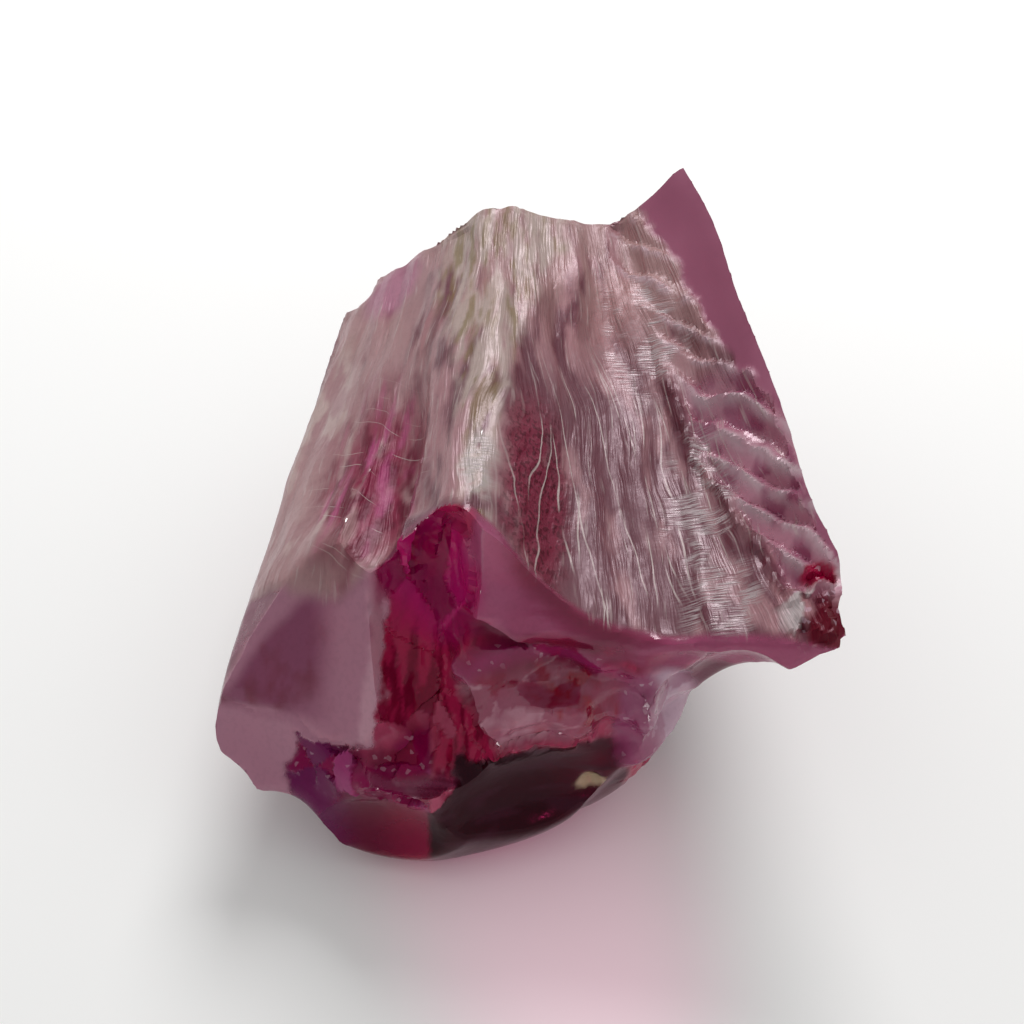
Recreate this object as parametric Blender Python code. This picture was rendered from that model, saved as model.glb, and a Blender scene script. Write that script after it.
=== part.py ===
"""A raw ruby crystal, broken from a larger rough, lying on its rounded side.

The fragment is one solid. Its outside is built the way the stone itself came about: first the grown
body, a tapering boule with a smooth skin and a split top, then every flake that broke off it. A flake
leaves a shell-shaped scar, which is a piece of an ellipsoid, so each one is a cutter in a Boolean.

Metres in Blender, millimetres in the tables. X runs to the right, Y away to the narrow end, Z up.
"""

import math

import bmesh
import bpy
import numpy as np
from mathutils import Matrix, Vector

MM = 0.001

# The grown body: outlines across it, each at its own distance along the body. The skin runs from the
# left rim under the keel to the right rim, and the top runs back from there over the ridge.
SECTIONS = {
    -13.4: {
        "skin": [(-10.2, 6.8), (-10.4, 4.8), (-8.6, 3.6), (-5.4, 2.2), (-2.6, 2.0)]
        + [(0.6, 6.0), (3.4, 8.0), (5.6, 8.8), (9.0, 10.8), (12.0, 13.0)],
        "top": [(9.3, 12.2), (5.5, 11.5), (1.3, 12.9), (-2.1, 15.6), (-4.4, 13.6), (-7.0, 12.2)],
    },
    -12.6: {
        "skin": [(-10.5, 6.8), (-10.8, 4.4), (-8.6, 3.1), (-5.4, 0.8), (-2.4, 0.5)]
        + [(1.0, 2.6), (3.4, 7.0), (5.8, 8.6), (9.2, 10.7), (12.0, 13.0)],
        "top": [(9.3, 12.2), (5.5, 11.5), (1.3, 12.9), (-2.1, 15.6), (-4.4, 13.6), (-7.1, 12.2)],
    },
    -11.8: {
        "skin": [(-10.8, 7.0), (-11.1, 4.3), (-8.9, 2.9), (-5.7, 0.3), (-2.2, 0.1)]
        + [(1.7, 1.5), (3.9, 5.2), (6.0, 8.5), (9.4, 10.6), (12.0, 13.0)],
        "top": [(9.3, 12.2), (5.5, 11.5), (1.3, 12.9), (-2.1, 15.6), (-4.4, 13.6), (-7.2, 12.2)],
    },
    -11.0: {
        "skin": [(-11.0, 7.1), (-11.3, 4.6), (-9.2, 2.6), (-5.9, -0.2), (-2.0, -0.1)]
        + [(2.0, 1.2), (4.2, 4.4), (6.3, 8.3), (9.6, 10.5), (12.1, 13.1)],
        "top": [(9.4, 12.2), (5.6, 11.5), (1.4, 12.9), (-2.1, 15.6), (-4.4, 13.6), (-7.3, 12.2)],
    },
    -10.0: {
        "skin": [(-11.1, 7.4), (-11.4, 5.0), (-9.2, 2.4), (-6.2, -0.4), (-2.0, -0.5)]
        + [(2.4, 0.1), (4.9, 2.6), (6.8, 7.6), (9.9, 10.3), (12.0, 13.2)],
        "top": [(9.4, 12.3), (5.6, 11.6), (1.4, 12.9), (-2.1, 15.6), (-4.4, 13.5), (-7.3, 12.1)],
    },
    -8.4: {
        "skin": [(-10.9, 7.8), (-11.1, 5.6), (-9.3, 2.4), (-6.4, -0.6), (-2.0, -0.8)]
        + [(2.6, -0.5), (5.8, 2.4), (7.4, 7.0), (10.3, 10.2), (12.3, 13.3)],
        "top": [(9.4, 12.4), (5.8, 11.8), (1.6, 13.0), (-1.9, 15.6), (-4.3, 13.4), (-7.3, 12.0)],
    },
    -5.0: {
        "skin": [(-10.0, 8.6), (-10.4, 6.6), (-9.2, 2.8), (-6.4, -0.7), (-2.0, -0.9)]
        + [(2.8, -0.7), (6.8, 2.6), (8.6, 6.8), (10.6, 10.4), (11.2, 13.7)],
        "top": [(9.2, 12.9), (6.0, 12.2), (2.0, 13.4), (-1.4, 15.4), (-4.2, 13.2), (-7.2, 11.8)],
    },
    -1.0: {
        "skin": [(-9.0, 9.1), (-9.4, 7.2), (-8.6, 3.2), (-6.1, -0.7), (-1.8, -0.9)]
        + [(2.8, -0.7), (6.9, 2.8), (8.9, 6.8), (10.0, 10.4), (10.5, 14.1)],
        "top": [(8.4, 13.2), (5.6, 12.6), (2.4, 13.8), (-1.2, 15.2), (-4.0, 12.9), (-6.6, 11.3)],
    },
    5.0: {
        "skin": [(-8.0, 9.4), (-8.1, 7.6), (-7.4, 3.4), (-5.2, -0.6), (-1.4, -0.8)]
        + [(2.6, -0.6), (6.2, 2.8), (8.2, 6.8), (9.0, 10.4), (9.1, 14.6)],
        "top": [(7.4, 13.7), (4.8, 13.1), (2.3, 14.1), (-1.0, 15.0), (-3.7, 13.0), (-5.9, 11.2)],
    },
    9.0: {
        "skin": [(-7.2, 9.6), (-7.2, 7.8), (-6.6, 4.0), (-4.4, 0.6), (-1.2, 0.3)]
        + [(2.2, 0.6), (5.6, 3.4), (7.4, 7.2), (8.1, 10.6), (8.3, 14.9)],
        "top": [(6.4, 14.0), (4.2, 13.5), (2.0, 14.2), (-0.9, 15.0), (-3.5, 13.0), (-5.4, 11.2)],
    },
    12.5: {
        "skin": [(-6.2, 9.6), (-6.2, 8.0), (-5.6, 5.0), (-3.8, 2.4), (-1.0, 2.0)]
        + [(1.8, 2.4), (4.8, 4.6), (6.6, 7.8), (6.8, 10.8), (7.0, 15.6)],
        "top": [(5.4, 14.6), (3.6, 13.8), (2.0, 14.1), (-0.9, 15.0), (-3.2, 13.0), (-4.8, 11.2)],
    },
}

# The body's facets: outlines along it, and points along the skin and the top of each.
RINGS, SKIN_STEPS, TOP_STEPS = 32, 38, 24

# Flake scars. Each is the deepest point of the scar, the way it faces there, and its three radii:
# into the stone, along the scar and across it. The last is the direction that it is long in.
SCARS = {
    "valley": ((5.6, -3.0, 11.8), (-0.06, -0.1, 1.0), (8.0, 26.0, 7.0), (0, 1, 0)),
    "left_groove": ((-4.1, -2.0, 12.1), (-0.5, 0.0, 0.87), (3.0, 12.0, 1.8), (0.13, 1, 0.05)),
    "back_left": ((-3.5, 9.4, 10.5), (0.14, 0.98, 0.05), (10.0, 12.0, 12.0), (0, 0, 1)),
    "back_right": ((2.6, 10.0, 11.5), (-0.2, 0.98, 0.05), (8.0, 14.0, 10.0), (0, 0, 1)),
    "back_low": ((0.5, 8.4, 4.2), (0.12, 0.85, -0.5), (10.0, 14.0, 10.0), (1, 0, 0)),
    "back_side": ((6.9, 8.2, 7.0), (0.75, 0.62, -0.15), (9.0, 12.0, 7.0), (0, 0, 1)),
    "back_corner": ((-5.9, 7.7, 5.0), (-0.75, 0.6, -0.25), (9.0, 11.0, 7.0), (0, 0, 1)),
    "back_notch": ((-6.1, 9.0, 10.0), (-0.5, 0.8, 0.3), (2.0, 2.5, 1.0), (0, 0, 1)),
    "right_skin": ((7.9, 1.5, 4.8), (0.83, 0.1, -0.55), (9.0, 13.0, 6.0), (0, 1, 0.1)),
    "right_heel": ((7.0, -4.6, 3.2), (0.8, -0.3, -0.5), (8.0, 7.0, 5.0), (0, 1, 0.3)),
    "left_skin": ((-8.2, -2.0, 3.2), (-0.82, 0.0, -0.57), (9.0, 20.0, 8.0), (0, 1, 0.05)),
    "left_hip": ((-7.35, 4.4, 5.6), (-0.95, 0.25, -0.2), (8.0, 13.0, 9.0), (0, 0.4, 1)),
    "band": ((3.8, -9.15, 14.5), (-0.24, -0.97, 0.0), (5.0, 16.0, 5.2), (0.95, -0.24, -0.2)),
    "under_band": ((-0.9, -8.5, 10.6), (-0.2, -0.97, 0.1), (1.6, 2.6, 0.7), (3.75, -1.4, -1.2)),
    "left_face": ((-7.7, -8.2, 9.0), (-0.22, -0.73, 0.64), (6.0, 12.0, 6.0), (0, 0.7, 0.7)),
    "left_foot": ((-9.2, -11.1, 4.3), (-0.3, -0.8, 0.5), (5.0, 7.0, 6.0), (0, -0.5, -0.8)),
    "left_step": ((-7.9, -11.0, 2.9), (-0.5, -0.3, -0.8), (2.0, 3.0, 1.5), (0.5, -0.86, 0)),
    "lobe_side": ((-7.7, -11.9, 2.4), (-0.8, -0.35, -0.5), (2.5, 3.0, 2.0), (0.3, -0.9, 0.3)),
    "tip_gap": ((-7.75, -12.2, 3.35), (-0.7, -0.52, -0.47), (2.0, 4.0, 2.2), (0, 0.67, -0.74)),
    "corner": ((-2.9, -6.8, 13.9), (0.1, -0.98, -0.15), (3.0, 4.4, 1.7), (-0.2, -0.3, -1)),
    "hollow": ((-4.0, -8.1, 9.2), (0.1, -0.84, 0.5), (4.0, 6.0, 2.2), (0.22, -0.5, -0.86)),
    "hollow_foot": ((-2.9, -10.4, 6.1), (0.1, -0.62, 0.78), (2.5, 3.4, 1.7), (1.2, -1.6, -1.3)),
    "shelf_1": ((-2.0, -9.3, 10.1), (-0.5, -0.6, 0.6), (1.6, 2.2, 1.5), (0, -0.5, -0.7)),
    "shelf_2": ((-0.7, -10.4, 9.0), (-0.25, -0.75, 0.6), (2.5, 3.2, 2.2), (0, -0.6, -0.75)),
    "shelf_3": ((1.1, -10.5, 8.8), (0.1, -0.6, 0.8), (2.5, 3.0, 2.0), (1, 0, 0)),
    "shelf_4": ((1.5, -11.6, 7.6), (-0.05, -0.9, 0.45), (3.0, 3.6, 2.4), (1, 0, 0)),
    "shelf_5": ((3.0, -11.0, 8.3), (0.3, -0.75, 0.6), (2.5, 3.0, 2.2), (0, -0.6, -0.7)),
    "shelf_6": ((5.6, -10.9, 8.6), (0.2, -0.7, 0.7), (2.5, 3.5, 2.2), (1, 0, 0)),
    "undercut": ((1.0, -11.4, 5.6), (0.2, -0.97, -0.12), (3.0, 5.4, 3.6), (1, 0.2, 0)),
    "chip_1": ((4.6, -10.7, 6.2), (-0.35, -0.92, 0.15), (4.0, 5.0, 2.0), (0.2, 0, -1)),
    "corner_chip": ((5.1, -11.45, 8.0), (0.1, -0.97, 0.2), (1.8, 2.2, 1.2), (1, 0, 0)),
    "chip_2": ((5.9, -10.0, 5.8), (0.55, -0.8, 0.1), (4.0, 6.0, 3.0), (0.3, 0, 1)),
    "lobe_left": ((-7.2, -11.3, 6.0), (-0.2, -0.65, 0.74), (2.0, 2.8, 1.7), (1, -0.2, 0.2)),
    "lobe_right": ((-4.1, -11.5, 6.0), (0.2, -0.7, 0.7), (2.0, 2.4, 1.7), (1, 0, -0.2)),
    "lobe_front": ((-5.6, -12.5, 3.3), (-0.05, -1.0, 0.03), (4.0, 5.5, 4.6), (1, 0, 0)),
    "tip_notch": ((11.5, -8.6, 13.1), (0.5, -0.2, 0.8), (0.8, 1.0, 0.7), (0, 1, 0)),
    "tip_face": ((11.0, -11.0, 12.7), (0.35, -0.1, 0.93), (1.0, 1.6, 0.7), (0, 1, 0)),
    "step_1": ((8.7, -1.6, 12.9), (-0.3, -0.36, 0.9), (4.0, 4.2, 2.6), (2.4, -1.3, 0.7)),
    "step_2": ((9.1, -3.5, 12.8), (-0.3, -0.3, 0.9), (4.0, 4.4, 2.3), (3.1, -2.0, 0.9)),
    "step_3": ((9.7, -5.1, 12.6), (-0.3, -0.38, 0.88), (4.0, 3.8, 2.3), (3.3, -2.6, 0.9)),
    "step_4": ((9.3, -6.9, 12.35), (-0.25, -0.28, 0.92), (4.0, 5.0, 2.8), (3.2, -2.0, 0.8)),
    "step_5": ((10.3, -8.5, 12.4), (-0.3, -0.2, 0.92), (3.0, 3.2, 1.6), (3.2, -1.2, 0.9)),
    "pit": ((2.9, -10.9, 3.9), (0.4, -0.9, 0.0), (0.5, 0.5, 0.4), (0, 0, 1)),
}

# A scar's facets are about this long, and a quarter of its round takes so many at least and at most.
SCAR_FACET = 0.75
QUARTER_LEAST, QUARTER_MOST = 4, 12


def clear_scene():
    for obj in list(bpy.data.objects):
        bpy.data.objects.remove(obj, do_unlink=True)


def make_collection(name):
    collection = bpy.data.collections.new(name)
    bpy.context.scene.collection.children.link(collection)
    return collection


def smooth_path(points, count):
    """Points along a Catmull-Rom curve through the given ones, evenly spread in its parameter."""
    points = np.asarray(points, float)
    ends = np.vstack([2 * points[0] - points[1], points, 2 * points[-1] - points[-2]])
    made = []
    for t in np.linspace(0, len(points) - 1, count):
        i = min(int(t), len(points) - 2)
        f = t - i
        a, b, c, d = ends[i : i + 4]
        bend = (2 * a - 5 * b + 4 * c - d) * f**2 + (3 * b - a - 3 * c + d) * f**3
        made.append(b + ((c - a) * f + bend) / 2)
    return np.array(made)


def body_ring(landmarks):
    """One closed outline from its landmarks: the skin, then the top, meeting in sharp rims."""
    skin, top = landmarks[:10], landmarks[10:]
    under = smooth_path(skin, SKIN_STEPS)
    over = smooth_path(np.vstack([skin[-1], top, skin[0]]), TOP_STEPS)
    return np.vstack([under, over[1:-1]])


def make_body(collection, material):
    """The grown body, lofted through its outlines and closed at both ends."""
    stations = np.array(sorted(SECTIONS))
    landmarks = np.array([SECTIONS[y]["skin"] + SECTIONS[y]["top"] for y in stations])
    places = np.broadcast_to(stations[:, None, None], (*landmarks.shape[:2], 1))
    placed = np.concatenate([landmarks, places], axis=2)
    rings = smooth_path(placed.reshape(len(stations), -1), RINGS).reshape(RINGS, -1, 3)
    mesh = bmesh.new()
    loops = []
    for ring in rings:
        outline = body_ring(ring[:, :2])
        loops.append([mesh.verts.new(Vector((x, ring[0, 2], z)) * MM) for x, z in outline])
    for near, far in zip(loops, loops[1:]):
        for i in range(len(near)):
            j = (i + 1) % len(near)
            mesh.faces.new((near[i], near[j], far[j], far[i]))
    mesh.faces.new(loops[0][::-1])
    mesh.faces.new(loops[-1])
    everything = mesh.verts[:] + mesh.edges[:] + mesh.faces[:]
    cut = bmesh.ops.bisect_plane(mesh, geom=everything, plane_no=(0, 0, -1), clear_outer=True)
    rest = [item for item in cut["geom_cut"] if isinstance(item, bmesh.types.BMEdge)]
    bmesh.ops.contextual_create(mesh, geom=rest)
    bmesh.ops.recalc_face_normals(mesh, faces=mesh.faces)
    data = bpy.data.meshes.new("ruby_crystal")
    mesh.to_mesh(data)
    mesh.free()
    body = bpy.data.objects.new("ruby_crystal", data)
    data.materials.append(material)
    collection.objects.link(body)
    return body


def make_scar(name, collection, deepest, facing, radii, along):
    """A cutter: the ellipsoid whose surface is the scar that a flake left."""
    out = Vector(facing).normalized()
    side = out.cross(Vector(along)).normalized()
    turn = Matrix((out, side.cross(out), side)).transposed()
    mesh = bmesh.new()
    quarter = round(math.tau * max(radii) / SCAR_FACET / 4)
    around = 4 * min(QUARTER_MOST, max(QUARTER_LEAST, quarter))
    bmesh.ops.create_uvsphere(mesh, u_segments=around, v_segments=around // 2, radius=1.0)
    bmesh.ops.transform(mesh, matrix=turn.to_4x4() @ Matrix.Diagonal((*radii, 1.0)), verts=mesh.verts)
    bmesh.ops.translate(mesh, vec=Vector(deepest) + out * radii[0], verts=mesh.verts)
    bmesh.ops.scale(mesh, vec=(MM, MM, MM), verts=mesh.verts)
    bmesh.ops.recalc_face_normals(mesh, faces=mesh.faces)
    data = bpy.data.meshes.new(name)
    mesh.to_mesh(data)
    mesh.free()
    scar = bpy.data.objects.new(name, data)
    scar.hide_render = True
    scar.display_type = "WIRE"
    collection.objects.link(scar)
    return scar


def centre_on_base(body, stone, collection):
    """Hang everything from one empty and slide it until the middle of the base is the origin."""
    frame = bpy.data.objects.new("stone_frame", None)
    collection.objects.link(frame)
    for obj in stone:
        obj.parent = frame
    bpy.context.view_layer.update()
    shape = body.evaluated_get(bpy.context.evaluated_depsgraph_get())
    corners = np.array([corner[:] for corner in shape.bound_box])
    middle = (corners.min(axis=0) + corners.max(axis=0)) / 2
    frame.location = (-middle[0], -middle[1], 0.0)


def make_ruby():
    material = bpy.data.materials.new("ruby")
    material.use_nodes = True
    shader = material.node_tree.nodes["Principled BSDF"]
    shader.inputs["Base Color"].default_value = (0.35, 0.02, 0.09, 1.0)
    shader.inputs["Roughness"].default_value = 0.2
    shader.inputs["Metallic"].default_value = 0.0
    return material


def main():
    clear_scene()
    stone = make_collection("raw_ruby_crystal")
    cutters = make_collection("flake_scars")
    body = make_body(stone, make_ruby())
    flakes = [make_scar(name, cutters, *scar) for name, scar in SCARS.items()]
    cut = body.modifiers.new("flake_scars", "BOOLEAN")
    cut.operation = "DIFFERENCE"
    cut.solver = "EXACT"
    cut.operand_type = "COLLECTION"
    cut.collection = cutters
    centre_on_base(body, [body, *flakes], stone)


main()
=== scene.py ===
"""A raw ruby crystal, dressed over its solid: relief, broken faces and a clear red body."""
# %% [markdown]
# ## The frame
# The solid of the stone is already made and packed. This scene loads it as a frame and grows a
# finer skin on it. Nothing here moves the solid or changes its size.

import math

import bmesh
import bpy
import numpy as np
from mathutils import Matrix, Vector, kdtree, noise


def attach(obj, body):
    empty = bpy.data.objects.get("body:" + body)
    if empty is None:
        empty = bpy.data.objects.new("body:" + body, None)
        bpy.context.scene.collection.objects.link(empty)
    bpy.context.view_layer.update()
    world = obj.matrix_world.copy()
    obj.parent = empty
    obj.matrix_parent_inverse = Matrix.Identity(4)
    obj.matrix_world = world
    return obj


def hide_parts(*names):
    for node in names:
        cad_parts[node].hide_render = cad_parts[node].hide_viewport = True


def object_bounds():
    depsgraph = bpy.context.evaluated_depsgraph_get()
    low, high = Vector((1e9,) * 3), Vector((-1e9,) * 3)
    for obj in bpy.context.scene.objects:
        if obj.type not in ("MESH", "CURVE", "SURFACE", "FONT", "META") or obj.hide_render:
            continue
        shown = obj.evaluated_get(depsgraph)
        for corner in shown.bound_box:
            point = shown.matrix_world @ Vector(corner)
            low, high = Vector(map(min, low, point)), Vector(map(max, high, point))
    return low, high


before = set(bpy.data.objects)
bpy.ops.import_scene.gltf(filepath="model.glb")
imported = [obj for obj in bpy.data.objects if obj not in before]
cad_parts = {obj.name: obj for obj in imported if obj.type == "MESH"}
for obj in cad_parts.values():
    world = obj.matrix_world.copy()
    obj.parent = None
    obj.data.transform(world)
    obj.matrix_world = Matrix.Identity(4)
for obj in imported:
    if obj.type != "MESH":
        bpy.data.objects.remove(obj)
solid_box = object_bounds()
stone_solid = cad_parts["ruby_crystal"]
MM = 0.001
# The frame's origin, in mm, in the layout that the places on the stone are written in.
HEART = np.array([0.37, -0.634, 0.0])
print("solid, mm:", [round(c / MM, 2) for c in (*solid_box[0], *solid_box[1])])

# %% [markdown]
# ## Camera, floor and light
# The stone lies on white card and is seen from the wide, broken end, looking down at about 48 degrees.
# A long lens from close by keeps the far end nearly as large as the near end. The light is that of a
# bright room, white behind and above and dimmer on the near side, with one large soft window behind.
# A world that is equally white all round would put a grey veil over every polished dark face.

# %% Camera
VIEW_DOWN = math.radians(48.0)
VIEW_FROM = 100.0 * MM
FIELD = 42.0 * MM
look_at = Vector((-HEART[0] * MM, -HEART[1] * MM, 7.0 * MM))
camera_data = bpy.data.cameras.new("camera")
camera_data.sensor_width = 36.0
camera_data.lens = 36.0 * VIEW_FROM / FIELD
camera_data.clip_start = 1.0 * MM
camera = bpy.data.objects.new("camera", camera_data)
backward = Vector((0.0, -math.cos(VIEW_DOWN), math.sin(VIEW_DOWN)))
camera.location = look_at + backward * VIEW_FROM
camera.rotation_mode = "QUATERNION"
camera.rotation_quaternion = (-backward).to_track_quat("-Z", "Y")
bpy.context.scene.collection.objects.link(camera)
bpy.context.scene.camera = camera
print("camera at", [round(c / MM, 1) for c in camera.location], "mm")

# %% Floor
FLOOR_SIZE = 2.0
floor_data = bpy.data.meshes.new("card")
half = FLOOR_SIZE / 2
floor_data.from_pydata(
    [(-half, -half, 0.0), (half, -half, 0.0), (half, half, 0.0), (-half, half, 0.0)], [], [(0, 1, 2, 3)]
)
floor = bpy.data.objects.new("card", floor_data)
floor.location.z = -0.02 * MM
bpy.context.scene.collection.objects.link(floor)
card = bpy.data.materials.new("white_card")
card.use_nodes = True
card_shader = card.node_tree.nodes["Principled BSDF"]
card_shader.inputs["Base Color"].default_value = (0.92, 0.92, 0.91, 1.0)
card_shader.inputs["Roughness"].default_value = 0.9
card_shader.inputs["Specular IOR Level"].default_value = 0.1
floor_data.materials.append(card)

# %% Light
ROOM_NEAR, ROOM_FAR = 0.52, 0.62
scene = bpy.context.scene
scene.view_settings.view_transform = "Standard"
scene.world = bpy.data.worlds.new("room")
scene.world.use_nodes = True
room = scene.world.node_tree
room.nodes["Background"].inputs["Color"].default_value = (1.0, 1.0, 1.0, 1.0)
toward = room.nodes.new("ShaderNodeTexCoord")
axes = room.nodes.new("ShaderNodeSeparateXYZ")
fade = room.nodes.new("ShaderNodeMapRange")
fade.interpolation_type = "SMOOTHSTEP"
fade.inputs["From Min"].default_value = -0.9
fade.inputs["From Max"].default_value = 0.4
fade.inputs["To Min"].default_value = ROOM_NEAR
fade.inputs["To Max"].default_value = ROOM_FAR
room.links.new(toward.outputs["Generated"], axes.inputs[0])
room.links.new(axes.outputs["Y"], fade.inputs["Value"])
room.links.new(fade.outputs[0], room.nodes["Background"].inputs["Strength"])
# The window stands behind the stone and a little to the right.
WINDOW_WAY = Vector((0.15, 1.0, 1.1)).normalized()
WINDOW_DISTANCE, WINDOW_SIZE = 160.0 * MM, 80.0 * MM
window_data = bpy.data.lights.new("window", "AREA")
window_data.shape = "DISK"
window_data.size = WINDOW_SIZE
window_data.energy = 0.165
window = bpy.data.objects.new("window", window_data)
window.location = look_at + WINDOW_WAY * WINDOW_DISTANCE
window.rotation_mode = "QUATERNION"
window.rotation_quaternion = WINDOW_WAY.to_track_quat("Z", "Y")
scene.collection.objects.link(window)
# The stone throws a faint pink glow on the card in front of it. A narrow soft spot stands in for it.
GLOW_FROM = Vector((15.0, -62.0, 30.0)) * MM
GLOW_AT = Vector((1.5, -15.5, 0.0)) * MM
glow_data = bpy.data.lights.new("glow", "SPOT")
glow_data.color = (1.0, 0.08, 0.38)
glow_data.energy = 0.045
glow_data.spot_size = math.radians(15.0)
glow_data.spot_blend = 1.0
glow_data.shadow_soft_size = 2.0 * MM
glow = bpy.data.objects.new("glow", glow_data)
glow.location = GLOW_FROM
glow.visible_glossy = False
glow.rotation_mode = "QUATERNION"
glow.rotation_quaternion = (GLOW_FROM - GLOW_AT).to_track_quat("Z", "Y")
scene.collection.objects.link(glow)
print("lamps: a window and a glow")

# %% [markdown]
# ## A finer skin
# The solid has flat facets up to a millimetre long, which is right for a part but too coarse to look at.
# Subdividing it would keep the facets. Remeshing it in small cubes gives an even skin to carve, but
# rounds its edges off. So the skin is remeshed and then calmed: each small face turns towards the mean
# of its neighbours, but only of those that already face nearly its own way. Facets melt into smooth
# shells and the edges where two breaks meet grow sharp again. The cubes are as small as they can be
# with the skin under 200,000 triangles.

# %% Even skin
VOXEL = 0.1515


def even_skin(source, size):
    """Points in mm and triangles of a copy of the source, remeshed in cubes of that size."""
    mesh = bmesh.new()
    mesh.from_mesh(source.data)
    bmesh.ops.remove_doubles(mesh, verts=mesh.verts, dist=0.001 * MM)
    bmesh.ops.scale(mesh, vec=(1 / MM, 1 / MM, 1 / MM), verts=mesh.verts)
    data = bpy.data.meshes.new("skin_start")
    mesh.to_mesh(data)
    mesh.free()
    start = bpy.data.objects.new("skin_start", data)
    scene.collection.objects.link(start)
    remesh = start.modifiers.new("cubes", "REMESH")
    remesh.mode = "VOXEL"
    remesh.voxel_size = size
    remesh.adaptivity = 0.0
    made = bpy.data.meshes.new_from_object(start.evaluated_get(bpy.context.evaluated_depsgraph_get()))
    bpy.data.objects.remove(start)
    made.calc_loop_triangles()
    points = np.empty(len(made.vertices) * 3)
    made.vertices.foreach_get("co", points)
    triangles = np.empty(len(made.loop_triangles) * 3, dtype=np.int64)
    made.loop_triangles.foreach_get("vertices", triangles)
    return points.reshape(-1, 3), triangles.reshape(-1, 3)


points, triangles = even_skin(stone_solid, VOXEL)
print("skin:", len(points), "points,", len(triangles), "triangles")

# %% Calm the facets
EDGE_KEPT = 0.30
CALMING_ROUNDS, SETTLING_ROUNDS = 60, 14


def facing(points, triangles):
    """The normal and the area of each triangle."""
    a, b, c = (points[triangles[:, k]] for k in range(3))
    across = np.cross(b - a, c - a)
    length = np.linalg.norm(across, axis=1)
    return across / np.maximum(length, 1e-12)[:, None], length / 2


def neighbours(triangles):
    """Each pair of triangles that share an edge."""
    edges = np.sort(triangles[:, [0, 1, 1, 2, 2, 0]].reshape(-1, 2), axis=1)
    owner = np.repeat(np.arange(len(triangles)), 3)
    order = np.lexsort(edges.T)
    shared = (edges[order][1:] == edges[order][:-1]).all(axis=1)
    return owner[order][:-1][shared], owner[order][1:][shared]


def summed(index, vectors, count):
    """Adds up the vectors that have the same index."""
    return np.stack([np.bincount(index, weights=vectors[:, k], minlength=count) for k in range(3)], axis=1)


def unit(vectors):
    return vectors / np.maximum(np.linalg.norm(vectors, axis=1), 1e-12)[:, None]


def calmed(normals, areas, pairs, rounds):
    """Turns each normal towards those of its neighbours that are nearly the same already."""
    one, other = pairs
    for _ in range(rounds):
        apart = ((normals[one] - normals[other]) ** 2).sum(axis=1)
        trust = np.exp(-apart / (2 * EDGE_KEPT**2))
        total = normals * areas[:, None]
        total += summed(one, (trust * areas[other])[:, None] * normals[other], len(normals))
        total += summed(other, (trust * areas[one])[:, None] * normals[one], len(normals))
        normals = unit(total)
    return normals


def settled(points, triangles, normals, rounds):
    """Moves the points until the triangles face along the given normals."""
    uses = np.bincount(triangles.ravel(), minlength=len(points))[:, None]
    for _ in range(rounds):
        middles = points[triangles].mean(axis=1)
        move = np.zeros_like(points)
        for k in range(3):
            gap = middles - points[triangles[:, k]]
            push = normals * (gap * normals).sum(axis=1)[:, None]
            move += summed(triangles[:, k], push, len(points))
        points = points + move / np.maximum(uses, 1)
    return points


def point_normals(triangles, normals, areas, count):
    total = np.zeros((count, 3))
    for k in range(3):
        total += summed(triangles[:, k], normals * areas[:, None], count)
    return unit(total)


pairs = neighbours(triangles)
normals, areas = facing(points, triangles)
normals = calmed(normals, areas, pairs, CALMING_ROUNDS)
points = settled(points, triangles, normals, SETTLING_ROUNDS)
outward = point_normals(triangles, *facing(points, triangles), len(points))
place = points + HEART
print("calmed; lowest point", round(points[:, 2].min(), 3), "mm")

# %% [markdown]
# ## Where each kind of surface is
# A broken crystal shows several surfaces, each with its own colour and polish. The top split along the
# grain, so it is torn and frosted. The wide end broke across the grain in shells, which are glossy. The
# outside is the grown skin. Each kind gets a mask from 0 to 1 at every point, worked out from where the
# point is and which way it faces, with a little noise so that no border is ruled straight. Doing this
# once for each point, and not in the material for each ray, keeps the render quick.

# %% Helpers for masks
def ramp(low, high, value):
    """0 below low, 1 above high, and smooth between them. low may be the larger one."""
    t = np.clip((value - low) / (high - low), 0.0, 1.0)
    return t * t * (3 - 2 * t)


def grain(points, size, seed, octaves=2):
    """Smooth noise of about -1 to 1. size is the length of its lumps along X, Y and Z, in mm."""
    scaled = points / np.asarray(size, float) + seed * 17.31
    return np.array([noise.fractal(Vector(p), 1.0, 2.1, octaves) for p in scaled])


WANDER_SIZE, WANDER_REACH = (1.3, 1.3, 1.3), 0.35
wander = np.stack([grain(place, WANDER_SIZE, seed, 3) for seed in (1, 2, 3)], axis=1)
ragged = place + WANDER_REACH * wander
x, y, z = place.T
X, Y, Z = ragged.T
NY, NZ = outward.T[1:]
# The fibres of the torn top fan out from a point far behind the narrow end.
FAN_X, FAN_Y = 0.3, 36.0
fan = FAN_Y * (x - FAN_X) / (FAN_Y - y) + 0.5 * grain(place, (4.0, 7.0, 4.0), 18)
fan += 0.12 * grain(place, (1.2, 2.4, 1.2), 20)
flow = np.stack([fan, y, z], axis=1)


def patch(at, radii, soft=0.35):
    """1 inside an ellipsoid at that place, falling to 0 outside it."""
    reach = np.linalg.norm((ragged - np.asarray(at)) / np.asarray(radii), axis=1)
    return ramp(1 + soft, 1 - soft, reach)


def along(values, line):
    """What a line of (value, result) pairs gives for these values."""
    return np.interp(values, *np.array(sorted(line)).T)


def mottle(size, seed, low=-0.15, high=0.25, space=place):
    """Soft-edged blotches of a size, from 0 to 1."""
    return ramp(low, high, grain(space, size, seed, 3))


print("wander up to", round(np.abs(wander).max() * WANDER_REACH, 2), "mm")

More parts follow.
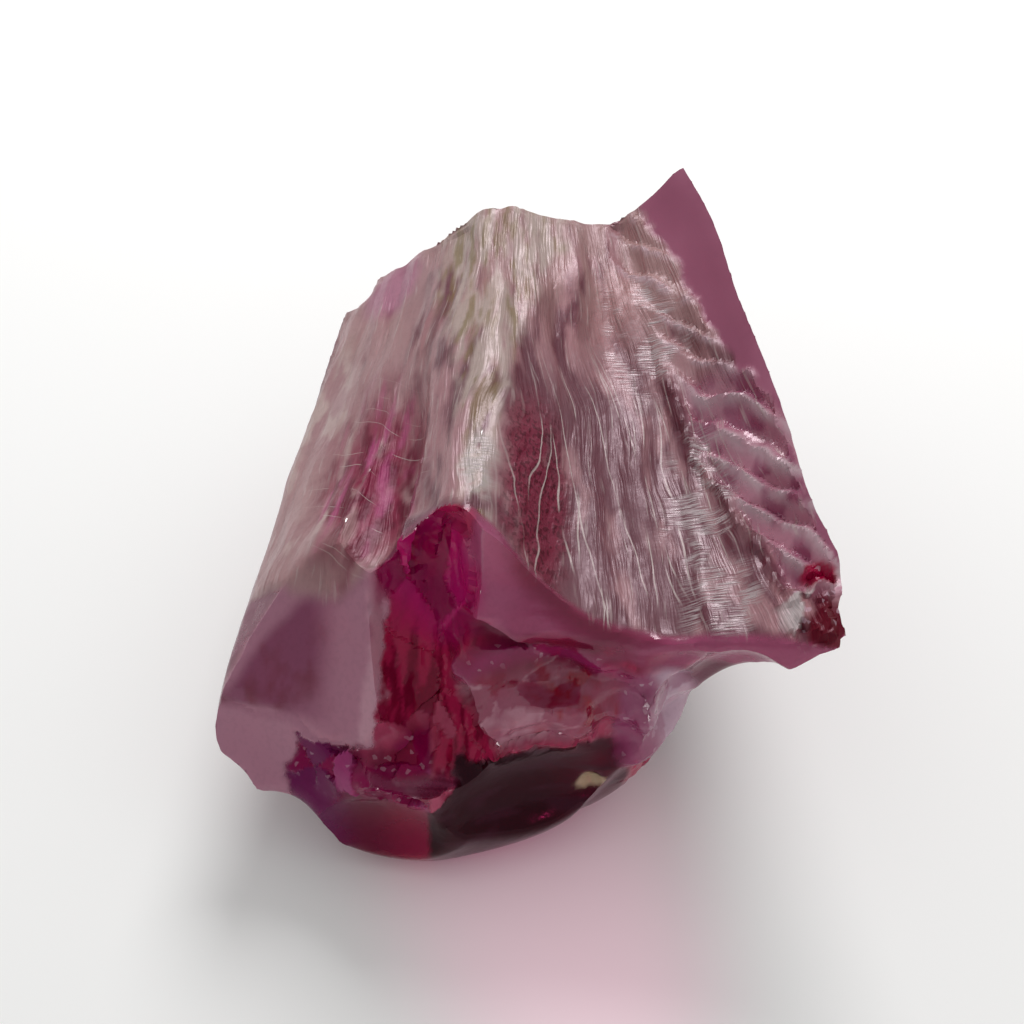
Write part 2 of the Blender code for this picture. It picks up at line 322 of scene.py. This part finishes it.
# %% Regions
# The line where the top breaks off to the front: X, then Y.
BROW = [(-11.5, -5.4), (-9.9, -6.0), (-8.4, -7.0), (-6.6, -7.5), (-5.2, -7.3), (-4.2, -6.0), (-3.2, -6.4)]
BROW += [(-1.5, -7.2), (0.5, -8.4), (3.0, -9.6), (7.0, -10.2), (9.8, -10.9), (12.4, -12.4)]
# The crest of the ridge and its two sides: Y, then X.
CREST_LEFT = [(-7.6, -1.9), (-3.0, -2.1), (2.0, -2.4), (6.0, -3.0), (12.0, -3.4)]
CREST_RIGHT = [(-7.6, -0.6), (-3.0, -0.3), (1.0, 0.2), (4.0, 0.9), (8.0, 2.2), (12.0, 2.6)]
# The feathered ledge right of the valley, where the hackles start: Y, then X.
LEDGE = [(-12.0, 11.9), (-10.3, 10.9), (-5.7, 8.8), (-2.0, 7.3), (1.5, 6.4), (5.0, 5.6)]
# The polished strip along the right rim starts here: Y, then X.
STRIP_LEFT = [(-13.0, 14.0), (-4.0, 11.4), (-1.3, 10.3), (3.9, 7.9), (10.3, 5.4), (13.0, 4.6)]
# The jagged right border of the rose-coloured face: Z, then X.
ROSE_RIGHT = [(2.0, -8.4), (4.7, -8.8), (6.2, -8.0), (6.5, -5.2), (8.0, -5.0), (10.0, -4.7), (12.0, -4.9)]

brow = along(x, BROW)
top = ramp(-0.35, 0.25, y - brow) * ramp(0.1, 0.3, NZ) * ramp(8.0, 9.0, z)
# The back broke in steps. Their upper sides face up too, but they are no part of the torn top.
top *= 1 - ramp(8.4, 9.0, y) * ramp(11.8, 10.8, z) * ramp(-5.4, -4.6, x)
facing_out = ramp(0.05, -0.25, NY + 0.35 * np.maximum(-NZ, 0))
front = ramp(-5.0, -6.5, y) * (1 - top) * facing_out
rose_gap = x + 0.45 * wander[:, 1] - along(Z, ROSE_RIGHT)
rose_line = (z - 6.7) - 0.894 * (x + 11.1) + 0.12 * wander[:, 2]
rose = front * ramp(0.12, -0.12, rose_gap)
lip_left = x - 1.5 * np.maximum(Z - 4.6, 0)
lip = front * ramp(-3.3, -3.1, lip_left) * ramp(4.7, 4.1, X) * ramp(6.7, 6.1, Z)
band = front * ramp(-1.9, -1.3, X) * ramp(9.9, 10.5, Z + 0.25 * np.maximum(X - 4.5, 0))
lumps = front * patch((1.2, -10.7, 8.6), (3.7, 3.0, 1.9), 0.15)
nook = front * patch((5.6, -10.8, 7.0), (1.7, 2.6, 2.9), 0.15)
lobe = front * (1 - rose) * ramp(-3.0, -3.2, x) * ramp(6.8, 6.2, Z)
hollow = np.clip(front - rose - lip - band - lumps - nook - lobe, 0, 1) * ramp(6.2, 5.0, X)
corner = front * patch((-3.0, -7.6, 12.0), (1.9, 2.6, 2.6))
# Painted shadow: the strip just under the overhanging brow, where the band is painted darker.
brow_shadow_zone = ramp(-0.9, -0.3, y - brow) * ramp(-1.0, 0.5, X) * ramp(6.0, 4.0, X)
crest = top * ramp(-0.2, 0.5, X - along(Y, CREST_LEFT)) * ramp(-0.1, 0.5, along(Y, CREST_RIGHT) - X)
strip = top * ramp(0.0, 0.35, X - along(Y, STRIP_LEFT))
ledge_gap = X - along(Y, LEDGE)
hackle = top * (1 - strip) * ramp(0.0, 0.5, ledge_gap) * ramp(2.4, 0.8, Y) * ramp(-9.6, -8.6, Y)
valley = top * patch((3.9, -4.5, 12.6), (4.6, 7.0, 4.0))
wall = top * ramp(-0.1, 0.3, X - along(Y, CREST_RIGHT)) * patch((0.9, -4.9, 13.4), (1.3, 4.4, 3.5))
groove = top * patch((-5.6, -3.0, 12.2), (2.3, 4.6, 3.6), 0.6) * ramp(-2.9, -3.5, X)
feather = top * (1 - strip) * ramp(1.5, 0.5, np.abs(X - along(Y, STRIP_LEFT) + 0.9)) * ramp(0.0, 2.0, Y)
bank = top * ramp(-5.9, -7.2, X) * ramp(9.0, 5.0, Y)
print("top", round(top.mean(), 3), "front", round(front.mean(), 3), "of the points")

# %% [markdown]
# ## Relief
# The solid has the breaks themselves. What is left is the texture of each break, still big enough to
# catch light as real shape: long flat splinters on the torn top, overlapping steps called hackles where
# the split ran out at the right, folded facets on the shelf at the front, and small flat chips in the
# corners. On the top, relief fades out near sharp edges so that the outline stays clean. Fine fibres
# and brushed patches come later, as bump.

# %% Helpers for relief
CHIP_DEPTH = 0.3
RISE = 0.78


def ridged(points, size, seed, octaves=2):
    """Sharp crests between smooth hollows, from 0 to 1."""
    return 1 - np.abs(np.clip(grain(points, size, seed, octaves), -1, 1))


def folds(points, pitch, seed, count):
    """Planes folded in random directions: their height, -1 to 1, and a tone for each facet, 0 to 1."""
    rng = np.random.default_rng(seed)
    height, tone = np.zeros(len(points)), np.zeros(len(points))
    for _ in range(count):
        way = rng.normal(size=3)
        way /= np.linalg.norm(way)
        length = pitch * rng.uniform(0.7, 1.5)
        phase = np.mod(points @ way / length + rng.uniform(), 1.0)
        height += (4 * np.abs(phase - 0.5) - 1) / count
        tone += (phase > 0.5) / count
    return height, tone


def chips(mask, pitch, count, slope, seed, stretch=1.0):
    """Flat chips at random angles where the mask is: their height in mm and a tone for each, 0 to 1."""
    rng = np.random.default_rng(seed)
    chosen = np.flatnonzero(mask > 0.01)
    here = (place[chosen] + 0.05 * wander[chosen]) / (1.0, 1.0, stretch)
    low, high = here.min(axis=0) - pitch / 2, here.max(axis=0) + pitch / 2
    hearts = rng.uniform(low, high, (count, 3))
    tree = kdtree.KDTree(count)
    for number, heart in enumerate(hearts):
        tree.insert(heart, number)
    tree.balance()
    owner = np.array([tree.find(p)[1] for p in here])
    tilt = rng.normal(size=(count, 3)) * slope
    height, tone = np.zeros(len(mask)), np.zeros(len(mask))
    height[chosen] = ((here - hearts[owner]) * tilt[owner]).sum(axis=1)
    tone[chosen] = rng.uniform(size=count)[owner]
    return mask * np.clip(height, -CHIP_DEPTH, CHIP_DEPTH), tone


def saw(distance, pitch):
    """Steps: a slow rise and a sudden drop over each pitch, from 0 to 1."""
    phase = np.mod(distance / pitch, 1.0)
    return np.where(phase < RISE, phase / RISE, (1 - phase) / (1 - RISE))


def away_from_edges(triangles, directions, rounds):
    """1 on even ground and 0 near a sharp edge: averaged normals are shorter where they disagree."""
    for _ in range(rounds):
        middles = directions[triangles].mean(axis=1)
        total = sum(summed(triangles[:, k], middles, len(directions)) for k in range(3))
        directions = total / np.bincount(triangles.ravel(), minlength=len(directions))[:, None]
    return ramp(0.90, 0.975, np.linalg.norm(directions, axis=1))


even_ground = away_from_edges(triangles, outward, 5)
even_ground = np.maximum(even_ground, 0.5 * ramp(5.0, 8.0, Y))
print("even ground:", round(even_ground.mean(), 2), "of the skin")

# %% Carve
FLOOR_GUARD = 0.25
HACKLE_PITCH = 1.15
DEEPEST, HIGHEST = -0.6, 0.4
splinters = folds(flow * (1.0, 0.28, 0.6), 2.3, 31, 4)[0]
hackle_run = 0.61 * x + 0.79 * y + 0.07 * np.maximum(x - 8.0, 0) ** 2 + 0.10 * wander[:, 0]
hackle_run += 0.45 * grain(place, (2.6, 2.6, 2.6), 19)
hackles = saw(hackle_run, HACKLE_PITCH)
crown = lobe * ramp(4.2, 5.2, Z)
wing_tip = top * patch((11.3, -10.0, 12.9), (1.4, 2.2, 1.4))
facets, facet_tone = folds((place + 0.08 * wander) / (1.0, 1.0, 1.3), 1.9, 77, 4)
corner_height, corner_tone = chips(np.clip(corner + 0.5 * hollow, 0, 1), 1.5, 306, 0.15, 72, 2.2)
crown_height, crown_tone = chips(crown, 1.1, 143, 0.14, 73)
tip_height, tip_tone = chips(wing_tip, 0.8, 82, 0.14, 74)
torn = top * (1 - strip) * (1 - 0.85 * hackle) * even_ground
relief = torn * 0.34 * splinters
relief += torn * 0.07 * (ridged(flow, (0.8, 9.0, 5.0), 11, 3) - 0.75)
relief += torn * 0.20 * ramp(0.35, 0.0, np.abs(ledge_gap + 0.1)) * ramp(4.0, 1.0, Y)
relief += hackle * even_ground * 0.42 * (hackles - 0.6)
relief += feather * even_ground * 0.22 * (hackles - 0.6)
relief -= groove * 0.22 * even_ground + torn * groove * 0.2 * splinters
relief += wall * 0.08 * grain(place, (0.45, 0.6, 0.5), 15)
relief += np.clip(lumps + 0.5 * nook, 0, 1) * facets
relief += corner_height + crown_height + tip_height * even_ground
relief += hollow * 0.14 * (ridged(ragged, (0.55, 2.5, 4.5), 13) - 0.75)
relief -= rose * 0.10 * ramp(0.35, 0.0, np.abs(Z - 6.6 + 0.1 * (X + 8)))
relief += (1 - top) * (1 - front) * 0.03 * grain(place, (3.0, 1.2, 3.0), 14)
relief *= ramp(0.0, FLOOR_GUARD, place[:, 2])
points = points + outward * np.clip(relief, DEEPEST, HIGHEST)[:, None]
points = np.clip(points, *(np.array(end) / MM for end in solid_box))
print("relief from", round(relief.min(), 2), "to", round(relief.max(), 2), "mm")

# %% [markdown]
# ## Where each colour lies
# Each tint of the stone has its own mask. The tints are laid over one another further down: first the
# body colour of a region, then the blotches and streaks inside it, and among them a few painted
# shadows, highlights and reflections. The guides say where the material's fine fibres, lines and
# brushed patches lie, with the painted sheen of those patches.

# %% Masks for the tints
fanned = {"space": flow}
notch = patch((11.35, -8.5, 13.0), (0.8, 0.6, 1.0), 0.2)
rose_edge = ramp(-0.3, 0.6, rose_line) * ramp(-5.4, -7.0, X) * ramp(3.0, -1.0, Y) * (top + front)
band_ends = ramp(1.6, -0.8, X) + 0.7 * ramp(4.0, 8.0, X)
lumps_left = lumps * ramp(3.4, 1.4, X)
LUMPS_AT, LUMPS_RADII = (1.2, -10.7, 8.2), (3.7, 3.0, 1.9)
lumps_reach = np.linalg.norm((place - LUMPS_AT) / LUMPS_RADII, axis=1)
masks = {
    "skin_pale": mottle((5.0, 2.2, 5.0), 3, -0.7, 0.7),
    "skin_line": mottle((7.0, 0.30, 7.0), 69, 0.0, 0.5),
    "plum": top,
    "mauve": top * mottle((0.8, 3.6, 2.4), 41, -0.30, 0.15, **fanned),
    "dusk": top * ramp(1.0, 7.0, Y) * mottle((0.9, 4.0, 3.0), 42, -0.5, 0.0, **fanned),
    "slope": 0.8 * top * ramp(-2.8, -3.8, X) * mottle((1.0, 2.0, 1.5), 78, -0.9, 0.0),
    "bank_dark": bank * mottle((0.7, 1.6, 1.0), 66, -0.1, 0.25, **fanned),
    "bank": bank * mottle((0.9, 2.5, 1.6), 43, -0.5, 0.1),
    "valley": valley * mottle((0.9, 3.0, 2.0), 44, -0.5, 0.1, **fanned),
    "wall": wall * mottle((0.6, 1.5, 0.8), 45, -0.8, -0.2),
    "groove": groove * mottle((0.5, 2.8, 2.0), 46, -0.5, 0.1, **fanned),
    "groove_dark": groove * mottle((0.5, 1.6, 1.2), 67, 0.0, 0.3, **fanned),
    "streak": 0.7 * groove * mottle((0.40, 2.4, 1.5), 47, 0.15, 0.60, **fanned),
    "crest": crest * mottle((0.6, 2.4, 1.6), 48, -0.5, 0.2, **fanned),
    "olive": 0.7 * crest * mottle((0.35, 2.4, 1.5), 49, 0.05, 0.45, **fanned),
    "block": crest * patch((-1.1, -5.0, 15.2), (0.9, 1.5, 1.6)) * mottle((0.6, 0.5, 1.0), 60, -0.6, -0.1),
    "pink": 0.5 * top * patch((-5.0, 8.4, 11.8), (1.6, 1.6, 1.6)),
    "hackle": hackle,
    "hackle_deep": 0.7 * hackle * mottle((0.9, 1.6, 1.0), 61, 0.0, 0.3),
    # Painted highlights: pale tints on the crests of the feathered steps and of the hackles.
    "feather": feather * ramp(0.60, 0.95, hackles) * mottle((1.0, 1.0, 1.0), 65, -0.3, 0.2),
    "hackle_crest_highlight": hackle * ramp(0.30, 1.0, hackles) * mottle((1.2, 1.2, 1.2), 62, -0.6, 0.0),
    "strip": strip,
    "notch": notch,
    "tip": patch((11.6, -11.0, 12.7), (0.8, 1.4, 1.2), 0.2),
    # Painted glints: some chips of the wing tip are painted near white.
    "flake_glints": wing_tip * (tip_tone > 0.72) * (1 - notch),
    "rose_edge": (1 - groove) * mottle((0.9, 2.2, 1.2), 70, -1.0, -0.2) * rose_edge,
    "hollow": hollow,
    "hollow_dark": hollow * mottle((0.35, 2.0, 2.4), 50, 0.0, 0.3),
    "rose": rose,
    "rose_deep": rose * ramp(1.0, 0.3, rose_line) * ramp(6.6, 7.0, z) * ramp(-6.4, -7.8, x),
    "rose_rim": front * ramp(0.5, 0.15, np.abs(rose_gap + 0.35)) * ramp(6.4, 7.0, Z),
    "lobe": lobe,
    "lobe_warm": lobe * ramp(-5.6, -3.4, x),
    "lobe_cool": lobe * ramp(-5.6, -7.4, x),
    "lobe_hot": crown * (crown_tone > 0.45),
    "lobe_light": crown * (crown_tone > 0.85),
    "lip": lip,
    "lip_red": lip * ramp(1.0, 4.0, X),
    # Painted reflection: grey streaks along the glossy lip.
    "lip_reflection_streaks": lip * mottle((2.8, 1.0, 0.5), 52, 0.0, 0.5),
    "band": band,
    "band_pale": band * np.maximum(band_ends, 0.7 * mottle((3.0, 1.2, 0.7), 53, 0.0, 0.5)),
    # Painted shadow under the brow.
    "band_brow_shadow": band * brow_shadow_zone,
    # Painted shade in the crease under the band, above the shelf.
    "band_foot_shade": 0.8 * band * ramp(11.5, 10.7, Z) * ramp(4.5, 3.0, X),
    "lumps": lumps,
    "lumps_pale": lumps_left * ramp(0.4, 0.8, facet_tone) * mottle((0.7, 0.7, 1.4), 76, -0.8, 0.3),
    "lumps_glow": lumps * ramp(0.6, 0.2, facet_tone) * mottle((0.8, 0.8, 1.2), 73, -0.8, 0.2),
    "lumps_rim": lumps * ramp(9.0, 9.8, Z),
    "crack": lumps * mottle((0.5, 0.5, 1.6), 54, 0.1, 0.45) * ramp(0.0, 2.0, X),
    "sparkle": lumps * ramp(0.75, 1.0, lumps_reach) * ramp(8.2, 9.0, Z),
    "nook": nook,
    "nook_grey": nook * ramp(5.0, 5.8, X) * ramp(0.1, 0.4, facet_tone),
    "corner": corner,
    "corner_deep": corner * (corner_tone < 0.35),
    "hollow_light": np.clip(hollow - corner, 0, 1) * (corner_tone > 0.7),
    "cream": patch((2.95, -11.1, 3.95), (0.5, 0.8, 0.45), 0.2),
}
masks["rose_deep"] *= 0.4 + 0.6 * ramp(-3.4, -1.2, rose_line)
masks["rose_red"] = 0.8 * masks["rose_deep"] * mottle((0.7, 0.9, 2.4), 56, -0.2, 0.8) * ramp(10.4, 9.0, Z)
# Brushed patches beside the ledge, where the split runs across the fibres. Their pale tint is a painted
# reflection of the bright window and room; they are also smoother and carry a brushed bump.
sheen = top * (1 - strip) * mottle((0.9, 1.0, 1.0), 57, -0.2, 0.2)
sheen *= patch((5.3, 4.2, 12.9), (1.6, 2.8, 3.0)) + patch((7.1, -4.2, 12.2), (1.3, 3.4, 2.6))
sheen += top * patch((7.7, -8.8, 12.0), (1.5, 1.6, 2.0)) * mottle((0.8, 0.8, 1.0), 58, -0.3, 0.1)
# How frosted each point is, and where the fine relief of each kind lies.
frost = 0.10 + top * 0.24 * (1 - 0.75 * hackle) + strip * 0.08 + rose * 0.20
frost += 0.16 * np.clip(1 - top - front, 0, 1)
frost += 0.06 * mottle((0.5, 1.4, 0.8), 59)
sheen = np.clip(sheen, 0, 1)
guides = {
    "fibrous": torn * (1 - sheen) * (0.35 + 0.65 * mottle((1.6, 2.4, 2.0), 74, -0.4, 0.3)),
    "pale": top * np.clip(1 - 0.85 * groove - 0.7 * wall - 0.3 * valley - sheen - strip - wing_tip, 0, 1),
    "pits": 0.06 * (1 - strip) + 0.55 * wall,
    "scratches": 0.7 * groove * mottle((1.2, 1.2, 1.2), 68, 0.0, 0.3),
    "lines": valley * (1 - sheen) * mottle((0.5, 3.0, 3.0), 63, -0.3, 0.1, **fanned),
    # Painted reflection: the pale sheen goes on the brushed patches and on the white block.
    "sheen": np.maximum(sheen, 0.8 * masks["block"]),
    "frost": frost,
    # Painted shade on reflections: these faces get a darkened specular tint further down.
    "gloom": lip + lobe + 0.8 * (corner + hollow + wall) + groove + 0.3 * band + 0.5 * strip + wing_tip,
    "glints": 0.4 * masks["sparkle"] + 0.3 * crown + 0.5 * wing_tip + 0.3 * nook,
}
print(len(masks), "tints and", len(guides), "guides")

# %% [markdown]
# ## Laying the tints
# The tints are written as they look on a screen in even light. Each is laid over those before it, as
# strongly as its mask says, and the result is kept with the skin, one colour for each point.

# %% Tints, in the order they are laid
TINTS = {
    "skin_pale": (134, 46, 84),
    "skin_line": (146, 62, 98),
    "plum": (114, 56, 70),
    "mauve": (190, 138, 144),
    "dusk": (184, 140, 138),
    "slope": (196, 154, 156),
    "bank": (218, 190, 184),
    "bank_dark": (190, 144, 148),
    "valley": (126, 74, 86),
    "wall": (144, 52, 76),
    "groove": (152, 36, 74),
    "groove_dark": (116, 16, 50),
    "streak": (214, 90, 150),
    "crest": (206, 184, 174),
    "olive": (138, 118, 56),
    "block": (206, 196, 186),
    "pink": (206, 110, 164),
    "hackle": (204, 136, 158),
    "hackle_deep": (148, 48, 96),
    # Painted highlights: pale tints on the crests of the feathered steps and of the hackles.
    "feather": (220, 186, 196),
    "hackle_crest_highlight": (222, 190, 200),
    "strip": (168, 90, 120),
    "notch": (166, 10, 62),
    "tip": (110, 6, 34),
    # Painted glints: some chips of the wing tip are painted near white.
    "flake_glints": (226, 214, 214),
    "rose_edge": (194, 148, 150),
    "hollow": (202, 42, 92),
    "hollow_dark": (146, 20, 62),
    "rose": (200, 134, 160),
    "rose_deep": (150, 66, 106),
    "rose_red": (128, 24, 60),
    "rose_rim": (224, 166, 186),
    "lobe": (112, 12, 56),
    "lobe_warm": (146, 14, 66),
    "lobe_cool": (120, 28, 92),
    "lobe_hot": (150, 16, 84),
    "lobe_light": (180, 70, 132),
    "lip": (40, 3, 13),
    "lip_red": (78, 10, 36),
    # Painted reflection: grey streaks along the glossy lip.
    "lip_reflection_streaks": (56, 26, 38),
    "band": (166, 50, 98),
    "band_pale": (196, 96, 138),
    # Painted shadow under the brow.
    "band_brow_shadow": (144, 38, 76),
    # Painted shade in the crease under the band, above the shelf.
    "band_foot_shade": (120, 20, 54),
    "lumps": (170, 74, 106),
    "lumps_pale": (214, 148, 168),
    "lumps_glow": (160, 22, 66),
    "lumps_rim": (128, 16, 56),
    "crack": (170, 6, 50),
    "sparkle": (170, 40, 104),
    "nook": (172, 74, 122),
    "nook_grey": (228, 190, 212),
    "corner": (208, 30, 120),
    "corner_deep": (158, 10, 84),
    "hollow_light": (206, 84, 120),
    "cream": (206, 196, 158),
}
BODY_TINT = (112, 24, 60)


def linear(rgb):
    """A colour as seen on a screen, 0 to 255, as the shader needs it."""
    return (np.array(rgb) / 255) ** 2.2


body = np.tile(linear(BODY_TINT), (len(points), 1))
for name, rgb in TINTS.items():
    amount = np.clip(masks[name], 0, 1)[:, None]
    body += amount * (linear(rgb) - body)
print(len(TINTS), "tints laid; unpaired:", sorted(set(TINTS) ^ set(masks)) or "none")

# %% Mesh
SHARP_EDGE = math.radians(25.0)
stone_data = bpy.data.meshes.new("ruby_stone")
stone_data.vertices.add(len(points))
stone_data.vertices.foreach_set("co", (points * MM).ravel())
stone_data.loops.add(triangles.size)
stone_data.loops.foreach_set("vertex_index", triangles.ravel())
stone_data.polygons.add(len(triangles))
stone_data.polygons.foreach_set("loop_start", np.arange(len(triangles)) * 3)
stone_data.update(calc_edges=True)
stone_data.validate()
for name, values in guides.items():
    layer = stone_data.attributes.new(name, "FLOAT", "POINT")
    layer.data.foreach_set("value", np.clip(values, 0, 1).astype(np.float32))
layer = stone_data.attributes.new("body", "FLOAT_COLOR", "POINT")
layer.data.foreach_set("color", np.column_stack([body, np.ones(len(body))]).astype(np.float32).ravel())
layer = stone_data.attributes.new("flow", "FLOAT_VECTOR", "POINT")
layer.data.foreach_set("vector", flow.astype(np.float32).ravel())
stone_data.shade_smooth()
stone_data.set_sharp_from_angle(angle=SHARP_EDGE)
stone = bpy.data.objects.new("ruby_stone", stone_data)
scene.collection.objects.link(stone)
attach(stone, "root")
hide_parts("ruby_crystal")
print("stone:", len(stone_data.polygons), "triangles")

# %% [markdown]
# ## The ruby
# Ruby is corundum: clear, red, and strongly refracting, with an index of 1.76. Light that crosses the
# stone loses its green and blue, so thick parts go wine dark and thin edges glow. Cracks and fibres
# near the surface scatter light, which is why the torn top looks like pale dusty rose. One material
# carries it all. It takes the body tint of each place, with its painted shadows and highlights, and adds
# what is finer than the mesh: pale fibres, thin white lines, brushed patches with a painted pale sheen,
# painted glints, and pits.

# %% Node helpers
LINE_WIDTH = 0.035
ruby = bpy.data.materials.new("ruby")
ruby.use_nodes = True
tree = ruby.node_tree
shader = tree.nodes["Principled BSDF"]
output = tree.nodes["Material Output"]


def fill(socket, value):
    """Links a socket to another, or sets its value."""
    if isinstance(value, bpy.types.NodeSocket):
        tree.links.new(value, socket)
    else:
        socket.default_value = value


def new_node(kind, values=None, **settings):
    node = tree.nodes.new(kind)
    for key, value in settings.items():
        setattr(node, key, value)
    for key, value in (values or {}).items():
        fill(node.inputs[key], value)
    return node


def mask_of(name):
    return new_node("ShaderNodeAttribute", attribute_name=name).outputs["Fac"]


def blend(below, above, amount):
    """One colour laid over another."""
    mix = new_node("ShaderNodeMix", data_type="RGBA")
    sockets = {socket.identifier: socket for socket in mix.inputs}
    fill(sockets["Factor_Float"], amount)
    fill(sockets["A_Color"], below)
    fill(sockets["B_Color"], above)
    return next(socket for socket in mix.outputs if socket.identifier == "Result_Color")


def calc(operation, *values):
    node = new_node("ShaderNodeMath", operation=operation)
    for socket, value in zip(node.inputs, values):
        fill(socket, value)
    return node.outputs[0]


def both(first, second):
    return calc("MULTIPLY", first, second)


def streaks(start, size, detail):
    """Noise drawn out along an axis, 0 to 1. size is the length of a lump along X, Y and Z."""
    scale = tuple(1 / s for s in size)
    spread = new_node("ShaderNodeMapping", {"Vector": start, "Scale": scale}).outputs[0]
    values = {"Vector": spread, "Scale": 1.0, "Detail": detail, "Roughness": 0.55}
    return new_node("ShaderNodeTexNoise", values).outputs["Fac"]


def step(value, low, high):
    """0 at low and 1 at high, and smooth between them. low may be the larger one."""
    values = {"Value": value, "From Min": low, "From Max": high}
    return new_node("ShaderNodeMapRange", values, interpolation_type="SMOOTHSTEP").outputs[0]


def thin_lines(distance, spacing):
    """Lines a hair wide, at random places that are about so far apart."""
    values = {"W": both(distance, 1 / spacing), "Scale": 1.0}
    dots = new_node("ShaderNodeTexVoronoi", values, voronoi_dimensions="1D", feature="F1")
    return step(dots.outputs["Distance"], LINE_WIDTH / spacing, 0.3 * LINE_WIDTH / spacing)


print("node helpers ready")

# %% Fibres, lines and brushed patches with a painted sheen
FIBRE_TINT = (*linear((226, 208, 204)), 1.0)
# The sheen tint is a painted reflection on the brushed patches.
SHEEN_TINT = (*linear((214, 198, 200)), 1.0)
PIT_TINT = (*linear((64, 2, 20)), 1.0)
GLINT_TINT = (*linear((240, 206, 224)), 1.0)
CHIP_SIZE = 0.18 * MM
colour = new_node("ShaderNodeAttribute", attribute_name="body").outputs["Color"]
flow_now = new_node("ShaderNodeAttribute", attribute_name="flow").outputs["Vector"]
place_now = new_node("ShaderNodeTexCoord").outputs["Object"]
fibre = streaks(flow_now, (0.13, 2.0, 1.2), 2.0)
across = new_node("ShaderNodeSeparateXYZ", {"Vector": flow_now}).outputs
slanted = calc("MULTIPLY_ADD", across["Y"], 0.14, across["X"])
lines = [thin_lines(across["X"], 0.62), thin_lines(slanted, 1.0)]
scratches = thin_lines(calc("MULTIPLY_ADD", across["Y"], 1.3, across["X"]), 1.2)
brushed = streaks(place_now, (0.9 * MM, 0.07 * MM, 0.5 * MM), 1.0)
pits = streaks(place_now, (0.19 * MM, 0.22 * MM, 0.19 * MM), 1.0)
chip = new_node("ShaderNodeTexVoronoi", {"Vector": place_now, "Scale": 1 / CHIP_SIZE}, feature="F1")
chance = new_node("ShaderNodeSeparateColor", {"Color": chip.outputs["Color"]}).outputs
colour = blend(colour, GLINT_TINT, both(mask_of("glints"), step(chance["Red"], 0.965, 0.975)))
colour = blend(colour, PIT_TINT, both(step(pits, 0.50, 0.62), mask_of("pits")))
colour = blend(colour, FIBRE_TINT, both(both(step(fibre, 0.60, 0.74), mask_of("pale")), 0.5))
colour = blend(colour, FIBRE_TINT, both(calc("MAXIMUM", *lines), mask_of("lines")))
colour = blend(colour, FIBRE_TINT, both(scratches, mask_of("scratches")))
# Painted reflection: brushed strokes laid in the pale sheen tint.
sheen_here = both(mask_of("sheen"), step(brushed, 0.38, 0.66))
colour = blend(colour, SHEEN_TINT, sheen_here)
tree.links.new(colour, shader.inputs["Base Color"])
print("fine colour laid")

# %% Polish, fine relief and depth
rough = calc("MULTIPLY_ADD", sheen_here, -0.12, mask_of("frost"))
tree.links.new(calc("MULTIPLY_ADD", step(pits, 0.5, 0.7), 0.08, rough), shader.inputs["Roughness"])
fine = both(fibre, mask_of("fibrous"))
fine = calc("MULTIPLY_ADD", pits, mask_of("pits"), fine)
fine = calc("MULTIPLY_ADD", brushed, both(mask_of("sheen"), 0.5), fine)
bump = new_node("ShaderNodeBump", {"Strength": 1.0, "Distance": 0.085 * MM, "Height": fine})
tree.links.new(bump.outputs["Normal"], shader.inputs["Normal"])
shader.inputs["IOR"].default_value = 1.76
shader.inputs["Specular IOR Level"].default_value = 0.25
# Painted shade on reflections: where gloom is high, the specular tint turns dark, so those glossy faces
# reflect as if the room around them were dimmer.
PALE_GLEAM, DEEP_GLEAM = (1.0, 0.80, 0.88, 1.0), (0.30, 0.14, 0.20, 1.0)
tree.links.new(blend(PALE_GLEAM, DEEP_GLEAM, mask_of("gloom")), shader.inputs["Specular Tint"])
shader.inputs["Transmission Weight"].default_value = 0.45
depth = new_node("ShaderNodeVolumeAbsorption")
depth.inputs["Color"].default_value = (0.88, 0.06, 0.30, 1.0)
depth.inputs["Density"].default_value = 300.0
tree.links.new(depth.outputs["Volume"], output.inputs["Volume"])
stone_data.materials.append(ruby)
print("ruby has", len(tree.nodes), "nodes")
